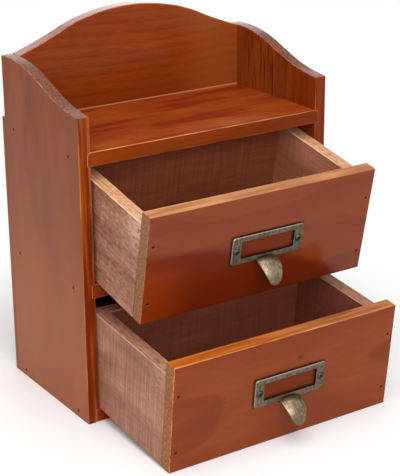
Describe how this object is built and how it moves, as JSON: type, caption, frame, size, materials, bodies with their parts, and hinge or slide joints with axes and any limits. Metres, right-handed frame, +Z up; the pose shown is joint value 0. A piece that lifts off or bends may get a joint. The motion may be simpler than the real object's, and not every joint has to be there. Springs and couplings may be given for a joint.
{
  "type": "desktop mini drawers",
  "caption": "Desktop organiser in stained wood: inset drawers with brass label-frame pulls under an open tray with scooped sides and an arched back.",
  "frame": {"origin": "centre of the carcass's base, where it stands on the table", "axes": "+X to the right of someone facing the drawers, +Y to the back, +Z up; the drawers open towards -Y"},
  "size_m": [0.25, 0.2701, 0.3298],
  "materials": {
    "stained_wood": "clear satin lacquer over a red-brown stain",
    "drawer_wood": "matte, thin brown stain",
    "thin_panel": "matte plywood",
    "antique_brass": "aged, brushed",
    "nail_steel": "dark, dull"
  },
  "bodies": {
    "carcass": {"left_side_panel": "stained_wood", "right_side_panel": "stained_wood", "top_shelf": "stained_wood", "divider_shelf": "stained_wood", "bottom_board": "stained_wood", "arched_back_board": "stained_wood", "lower_back_panel": "thin_panel", "back_panel_pins": "nail_steel", "shelf_nails": "nail_steel", "divider_rear_nails": "nail_steel", "bottom_rear_nails": "nail_steel"},
    "divider_nails": {"divider_front_nails": "nail_steel"},
    "upper_drawer": {"upper_front_board": "stained_wood", "upper_left_side": "drawer_wood", "upper_right_side": "drawer_wood", "upper_back_board": "drawer_wood", "upper_bottom_panel": "thin_panel", "upper_label_frame": "antique_brass", "upper_frame_screws": "antique_brass", "upper_front_nails": "nail_steel", "upper_back_nails": "nail_steel"},
    "bottom_nails": {"bottom_front_nails": "nail_steel"},
    "lower_drawer": {"lower_front_board": "stained_wood", "lower_left_side": "drawer_wood", "lower_right_side": "drawer_wood", "lower_back_board": "drawer_wood", "lower_bottom_panel": "thin_panel", "lower_label_frame": "antique_brass", "lower_frame_screws": "antique_brass", "lower_front_nails": "nail_steel", "lower_back_nails": "nail_steel"}
  },
  "joints": [
    {"name": "upper_drawer_tip", "type": "hinge", "parent": "carcass", "child": "divider_nails", "pos_m": [0, -0.0509, 0.1206], "axis": [-1, 0, 0], "range_deg": [0, 11.32]},
    {"name": "upper_drawer_slide", "type": "slide", "parent": "divider_nails", "child": "upper_drawer", "axis": [0, 0.9806, 0.1959], "range_m": [0, 0.06588]},
    {"name": "lower_drawer_tip", "type": "hinge", "parent": "carcass", "child": "bottom_nails", "pos_m": [0, -0.0509, 0.0061], "axis": [-1, 0, 0], "range_deg": [0, 6.32]},
    {"name": "lower_drawer_slide", "type": "slide", "parent": "bottom_nails", "child": "lower_drawer", "axis": [0, 0.994, 0.1097], "range_m": [0, 0.10979]}
  ],
  "couplings": [
    {"joint": "upper_drawer_tip", "follows": "upper_drawer_slide", "rad_per_m": 2.9937},
    {"joint": "lower_drawer_tip", "follows": "lower_drawer_slide", "rad_per_m": 1.0015}
  ]
}
